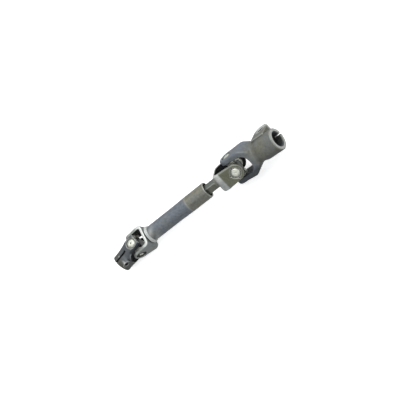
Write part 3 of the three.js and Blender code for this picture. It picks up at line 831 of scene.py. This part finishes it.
CROSSES = [
    ("upper_spider", cross(SHAFT_YOKE_SPAN, UPPER_CLAMP_SPAN, UPPER_SPIDER_RADIUS), UPPER_CROSS),
    ("lower_spider", cross(TUBE_YOKE_SPAN, LOWER_CLAMP_SPAN, LOWER_SPIDER_RADIUS), LOWER_CROSS),
]
for name, shape, place in CROSSES:
    thing = sculpted(f"{name}_forging", shape, (-8, -19, -19), (8, 19, 19), YOKE_CELL, place)
    place_piece(thing, name, drawing, name)


NEAR_AXIS = 0.02  # the radius of the first and last ring of a piece that has no bore


def cup(name, span, place, body, node, centre, recess):
    """A drawn cup: round rim, groove, raised centre and a small centre dimple.

    centre and recess are how strong the painted shade is in the dimple and on the face round the middle.
    """
    rim, floor_inside, bore = span - 0.25, span - 1.6, CUP_RADIUS - CUP_WALL
    groove_radius = 6.2
    profile = [
        (floor_inside, NEAR_AXIS), (floor_inside, 4.0), (floor_inside, 6.2), (span - 2.4, bore),
        (CUP_MOUTH + 0.5, bore), (CUP_MOUTH, 6.7), (CUP_MOUTH, 7.3), (CUP_MOUTH + 0.25, CUP_RADIUS),
        (rim - 0.9, CUP_RADIUS), (rim - 0.35, 7.35), (rim, 6.9), (rim - 0.15, 6.5),
        (rim - 0.6, groove_radius), (rim - 0.75, 5.7), (rim - 0.55, 5.3), (span - 0.15, 4.6),
        (span + 0.1, 3.4), (span + 0.2, 1.9), (span + 0.15, 1.2), (span - 0.2, 0.7),
        (span - 0.35, NEAR_AXIS),
    ]

    def paint(height, radius, theta):
        # Painted shade in the groove, in the dimple, round the rim and on the face round the middle.
        groove = np.exp(-(((radius - groove_radius) / 0.5) ** 2)) * (height > rim - 1.2)
        dimple = centre * (radius < 1.0) * (height > span - 0.6)
        rim_shade = 0.3 * (radius > 6.6) * (height > rim - 1.0)
        darker_patch = recess * (radius > 2.5) * (height > rim - 1.2)
        return {"hollow": np.clip(0.95 * groove + dimple + rim_shade + darker_patch, 0, 1)}

    thing = turned(name, profile, 96, place, paint=paint, longest=0.6)
    place_piece(thing, body, bearing, node)


def seal(name, place, body, node):
    """A rubber ring with two lips in a thin steel case."""
    low, top, bore = SEAL_SEAT + 0.25, CUP_MOUTH - 0.12, TRUNNION_RADIUS + 0.2
    case_from = 5.8
    profile = [
        (low, bore), (low - 0.05, 5.6), (low + 0.25, 5.9), (low - 0.05, 6.3), (low, 6.9),
        (low + 0.35, SEAL_RADIUS), (top - 0.25, SEAL_RADIUS), (top, 6.9), (top, 6.2), (top - 0.3, 5.6),
        (top, 5.1), (top - 0.1, bore),
    ]
    thing = turned(name, profile, 72, place, longest=0.5)
    data = thing.data
    data.materials.append(rubber)
    data.materials.append(bearing)
    own = data.attributes["own"].data
    for face in data.polygons:
        corners = [own[k].vector for k in face.vertices]
        outward = sum(math.hypot(c.x, c.y) for c in corners) / len(corners)
        face.material_index = int(outward > case_from)
    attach(thing, body)
    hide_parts(node)


# Each yoke's pin: its span, its cups' place and body, its seals' place and body, and its cups' painted
# shade.
PINS = [
    ("shaft_yoke", SHAFT_YOKE_SPAN, UPPER_JOINT, "inner_shaft",
     UPPER_CROSS, "upper_spider", (0.0, 0.0)),
    ("upper_clamp", UPPER_CLAMP_SPAN, UPPER_CLAMP, "upper_clamp",
     UPPER_CROSS @ SECOND_PIN, "upper_spider", (0.3, 0.15)),
    ("tube_yoke", TUBE_YOKE_SPAN, TUBE_FORK, "tube",
     LOWER_CROSS, "lower_spider", (0.5, 0.9)),
    ("lower_clamp", LOWER_CLAMP_SPAN, LOWER_CLAMP, "lower_clamp",
     LOWER_CROSS @ SECOND_PIN, "lower_spider", (0.9, 0.1)),
]
for name, span, cup_place, cup_body, seal_place, seal_body, cup_shade in PINS:
    for end, side in (("near", Matrix.Identity(4)), ("far", OTHER_END)):
        cup(f"{name}_cup_{end}_turned", span, cup_place @ side, cup_body, f"{name}_cup_{end}", *cup_shade)
        seal(f"{name}_seal_{end}_ring", seal_place @ side, seal_body, f"{name}_seal_{end}")
        needles = frame["nodes"][f"{name}_needles_{end}"]
        needles.data.materials.clear()
        needles.data.materials.append(rollers)


def tube_flat(height, radius):
    """Half the distance between the flats, which are pressed into the formed end only."""
    outside = radius > TUBE_MIDWALL
    half = np.where(outside, TUBE_FLAT, FORMED_INNER_FLAT)
    start = np.where(outside, FORMED_START, FORMED_START - 1)
    clear_of_it, pressed_over = 8.0, 2.6
    return half + clear_of_it * (1 - ramp(height, start, start + pressed_over))


def tube_paint(height, radius, theta):
    outside = radius > TUBE_MIDWALL
    formed = ramp(height, FORMED_START - 3, FORMED_START + 2)
    # Near the weld the tube turns olive and is painted lighter in bands round it.
    near_weld = 1 - ramp(height, 30, 46)
    # Painted highlight on the step where the formed end starts.
    step = np.exp(-(((height - FORMED_START - 0.4) / 0.8) ** 2)) * outside
    lip = (height > TUBE_END - 0.8) * 0.5
    # Painted shade inside the tube.
    return {
        "olive": 0.9 * formed + 0.2 * near_weld,
        "edge": np.clip(0.35 * step + lip, 0, 1),
        "bright": near_weld * (0.16 + 0.14 * np.sin(4 * theta + 0.35 * height)) * outside,
        "shade": 0.75 * (radius < TUBE_FLAT) * (height < TUBE_END - 1),
    }


tube_profile = [
    (24.3, 10.7), (24.6, TUBE_RADIUS), (FLARE_START, TUBE_RADIUS), (FORMED_START, FORMED_RADIUS),
    (129.3, FORMED_RADIUS), (129.75, 11.2), (TUBE_END, 10.9), (TUBE_END, 9.8), (129.7, FORMED_INNER),
    (FORMED_START, FORMED_INNER), (FORMED_START - 1, TUBE_INNER), (24.3, TUBE_INNER),
]
place_piece(
    turned("outer_tube_drawn", tube_profile, 144, FLATS, "X",
           flat=tube_flat, paint=tube_paint, longest=1.0),
    "tube", tubing, "outer_tube")


def weld_scale(height, theta):
    """Overlapping scales, as a weld bead is laid round a tube: 0 in the creases and 1 on the crowns."""
    return np.abs(np.sin(theta * WELD_SCALES + (height - WELD_MIDDLE) * 0.5))


def weld_ripple(height, radius, theta):
    """Scales on the bead, and a slow waver of its height and place. Its foot stays on the tube."""
    rise = np.clip((radius - WELD_FOOT) / 1.9, 0, 1)
    radius = radius + rise * (0.16 * weld_scale(height, theta) - 0.22 + 0.1 * np.sin(3 * theta + 1.3))
    height = height + rise * 0.12 * np.sin(5 * theta + 0.4)
    return height, radius


def weld_paint(height, radius, theta):
    # Painted shade in the creases between the scales, and darker lines along the bead's feet.
    crease = 1.6 * np.clip(0.4 - weld_scale(height, theta), 0, 1)
    seam = 0.9 * (1 - ramp(height, 24.5, 25.0)) + 0.5 * ramp(height, 28.3, 28.8)
    # A painted highlight along the bead, stronger and weaker round it.
    return {
        "hollow": np.clip(crease + seam, 0, 1),
        "bright": 0.5 + 0.25 * np.sin(3 * theta + 0.8),
    }


weld_profile = [
    (24.4, 10.95), (24.4, 12.3), (24.7, 12.9), (25.3, 13.1), (26.1, 12.8), (26.6, 12.3), (27.1, 12.3),
    (27.7, 12.1), (28.4, 11.5), (28.9, 10.95),
]
place_piece(
    turned("weld_bead_ripples", weld_profile, 252, SHAFT, "X",
           wobble=weld_ripple, paint=weld_paint, longest=0.4),
    "tube", welding, "weld_bead")


def shaft_flat(height, radius):
    """The bar's flats run out before the shaft yoke."""
    clear_of_it, run_out = 6.0, 2.6
    return BAR_FLAT + clear_of_it * ramp(height, BAR_FLATS_END, BAR_FLATS_END + run_out)


def shaft_paint(height, radius, theta):
    """Olive flats, with painted highlights on their corners and greyer round sides with painted shade
    between them.
    """
    flats = height < BAR_FLATS_END + 1.7
    to_side = np.abs(np.cos(theta))
    # Painted highlight along each flat's corner, and painted shade on the round sides.
    corner = np.exp(-(((to_side - 0.72) / 0.05) ** 2)) * flats
    rounded = ramp(to_side, 0.74, 0.8) * flats
    stub = height > 153.5
    return {
        "olive": 0.9 - 0.7 * rounded,
        "edge": np.clip(0.6 * corner + stub * 0.5, 0, 1),
        "hollow": 0.3 * rounded,
    }


shaft_profile = [
    (60.0, NEAR_AXIS), (60.0, 6.3), (60.5, BAR_RADIUS), (148.0, BAR_RADIUS), (148.2, 6.8), (148.2, 6.0),
    (153.8, 6.0), (153.8, 7.4), (154.2, 7.6), (154.9, 6.6), (155.3, 5.2), (155.4, 3.0), (155.4, NEAR_AXIS),
]
place_piece(
    turned("inner_shaft_drawn", shaft_profile, 144, FLATS, "X",
           flat=shaft_flat, paint=shaft_paint, longest=0.9),
    "inner_shaft", drawing, "inner_shaft")


def bush_flat(height, radius):
    return np.where(radius > (BUSH_OUTER + BUSH_INNER) / 2, BUSH_FLAT, BUSH_INNER_FLAT)


bush_profile = [
    (BUSH_START, BUSH_OUTER), (BUSH_END, BUSH_OUTER), (BUSH_END, BUSH_INNER), (BUSH_START, BUSH_INNER),
]
place_piece(
    turned("slide_bush_moulded", bush_profile, 120, FLATS, "X", flat=bush_flat),
    "tube", nylon, "slide_bush")


def serrations(name, place, body, start, end, root, tip, teeth, slit_at, slit_half):
    """The toothed lining of a clamp's bore, broken where the slit passes.

    root and tip are the radii between the teeth and on them.
    """
    half_gap = math.asin(slit_half / root)
    steps = teeth * 6
    angle = slit_at + np.linspace(half_gap, 2 * math.pi - half_gap, steps)
    wave = np.abs(((angle * teeth / (2 * math.pi)) % 1) * 2 - 1)
    inner = tip + (root - tip) * wave
    outer = np.full(steps, root + 0.25)
    rings = []
    for height, deeper in ((start, 0.0), (end - 0.5, 0.0), (end, root - tip)):  # the teeth end in a chamfer
        for radius in (np.minimum(inner + deeper, root + 0.1), outer):
            heights = np.full(steps, height)
            rings.append(np.stack([heights, radius * np.cos(angle), radius * np.sin(angle)], 1))
    points = np.concatenate(rings)
    quads = []
    order = [0, 2, 4, 5, 3, 1]  # the rings in turn: along the teeth, and back along the outside
    for k in range(len(order)):
        a, b = order[k] * steps, order[(k + 1) % len(order)] * steps
        quads += [[a + i, b + i, b + i + 1, a + i + 1] for i in range(steps - 1)]
    for i, flip in ((0, False), (steps - 1, True)):
        for quad in ([0, 2, 3, 1], [2, 4, 5, 3]):
            corner = [row * steps + i for row in quad]
            quads.append(corner[::-1] if flip else corner)
    values = no_paint(points)
    # Painted shade inside the bore, and an olive tone.
    values["hollow"] += 0.55
    values["olive"] += 0.4
    thing = mesh_object(name, points, np.array(quads), place, values, smooth=False)
    thing.data.materials.append(forging)
    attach(thing, body)


serrations("upper_clamp_serrations", UPPER_CLAMP, "upper_clamp", start=38.5, end=73.2, root=10.05, tip=9.5,
           teeth=36, slit_at=0.0, slit_half=1.25)
serrations("lower_clamp_serrations", LOWER_CLAMP, "lower_clamp", start=20.0, end=34.3, root=8.65, tip=8.15,
           teeth=32, slit_at=math.pi / 2, slit_half=1.0)

# ---------------------------------------------------------------- floor, light and camera

FLOOR_REACH, FLOOR_GREY, FLOOR_GLOW = 4.0, 0.93, 0.55
floor_data = bpy.data.meshes.new("floor")
floor_data.from_pydata(
    [(a * FLOOR_REACH, b * FLOOR_REACH, 0) for a, b in ((-1, -1), (1, -1), (1, 1), (-1, 1))],
    [], [(0, 1, 2, 3)])
floor = add_object("floor", floor_data)
paper = Wiring("pale_floor")
matt = paper.add("ShaderNodeBsdfDiffuse", {}, Color=(FLOOR_GREY, FLOOR_GREY, FLOOR_GREY, 1))
glow = paper.add("ShaderNodeEmission", {}, Color=(1, 1, 1, 1), Strength=FLOOR_GLOW)
both = paper.add("ShaderNodeAddShader", {}, i0=matt.outputs[0], i1=glow.outputs[0])
paper.add("ShaderNodeOutputMaterial", {}, Surface=both.outputs[0])
floor_data.materials.append(paper.material)
floor.visible_glossy = False
floor.visible_diffuse = False

# The shaft's own axes as the camera sees them, with x to its right, y up and z towards it.
PICTURE_ANGLE, TOWARDS_ANGLE = math.radians(38.0), math.radians(21.5)
seen_along = Vector((math.cos(TOWARDS_ANGLE) * math.cos(PICTURE_ANGLE),
                     math.cos(TOWARDS_ANGLE) * math.sin(PICTURE_ANGLE), math.sin(TOWARDS_ANGLE)))
seen_side = Vector((-math.sin(PICTURE_ANGLE), math.cos(PICTURE_ANGLE), 0))
shaft_seen = Matrix((seen_along, seen_side, seen_along.cross(seen_side)))
view_axes = lying_turn.to_3x3() @ shaft_seen  # its columns are the camera's axes in the part's frame

CAMERA_OFFSET = Vector((-46.77, -42.28, 1167.0)) * MM  # from the upper joint, along the camera's axes
camera_data = bpy.data.cameras.new("camera")
camera_data.lens = 81.88
camera_data.sensor_width = 36.0
camera_data.clip_start = 0.05
camera_data.clip_end = 20.0
camera = add_object("camera", camera_data)
camera.matrix_world = Matrix.Translation(upper_centre + view_axes @ CAMERA_OFFSET) @ view_axes.to_4x4()
bpy.context.scene.camera = camera

KEY_FROM = (view_axes @ Vector((-0.40, 0.62, 0.68))).normalized()
key_data = bpy.data.lights.new("key", "SUN")
key_data.energy = 0.9
key_data.angle = math.radians(60)
key = add_object("key", key_data)
key.rotation_euler = KEY_FROM.to_track_quat("Z", "Y").to_euler()

# The sky is dimmest on the side away from the key light, and brightest around it.
SKY_COLOUR = (0.97, 0.985, 1.0, 1)
FALL_FROM, FALL_TO, DIMMEST, BRIGHTEST = -0.6, 0.95, 0.55, 1.05
world = bpy.data.worlds.new("studio")
bpy.context.scene.world = world
world.use_nodes = True
tree = world.node_tree
tree.nodes.clear()
sky_side = tree.nodes.new("ShaderNodeTexCoord")
to_key = tree.nodes.new("ShaderNodeVectorMath")
to_key.operation = "DOT_PRODUCT"
to_key.inputs[1].default_value = KEY_FROM
tree.links.new(sky_side.outputs["Generated"], to_key.inputs[0])
fall = tree.nodes.new("ShaderNodeMapRange")
fall.interpolation_type = "SMOOTHSTEP"
for socket, value in enumerate((FALL_FROM, FALL_TO, DIMMEST, BRIGHTEST), 1):
    fall.inputs[socket].default_value = value
tree.links.new(to_key.outputs["Value"], fall.inputs[0])
sky = tree.nodes.new("ShaderNodeBackground")
sky.inputs["Color"].default_value = SKY_COLOUR
tree.links.new(fall.outputs[0], sky.inputs["Strength"])
out = tree.nodes.new("ShaderNodeOutputWorld")
tree.links.new(sky.outputs[0], out.inputs[0])
bpy.context.scene.view_settings.view_transform = "Standard"
